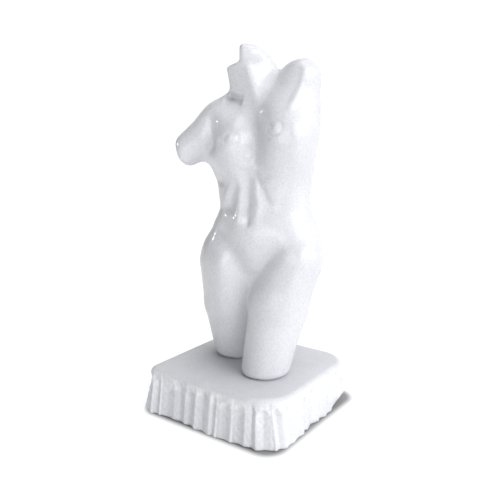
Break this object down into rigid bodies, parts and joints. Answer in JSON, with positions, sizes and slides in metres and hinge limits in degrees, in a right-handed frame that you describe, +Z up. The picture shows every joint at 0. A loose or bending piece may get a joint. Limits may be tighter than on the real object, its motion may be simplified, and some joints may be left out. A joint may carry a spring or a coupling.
{
  "type": "female torso statuette",
  "caption": "Marble statuette of a nude female torso, without head or forearms, standing on a square rough-hewn plinth.",
  "frame": {"origin": "centre of the plinth's flat underside", "axes": "+Z up; the plinth's sides run along X and Y; the figure's chest faces -Y, turned about 16 degrees towards +X"},
  "size_m": [0.1292, 0.1266, 0.2792],
  "materials": {
    "polished_marble": "polished, fine grey crystalline speckle",
    "hewn_marble": "smooth top, sides hewn in upright gouge strokes"
  },
  "bodies": {
    "root": {"female_torso": "polished_marble", "plinth": "hewn_marble"}
  },
  "joints": []
}
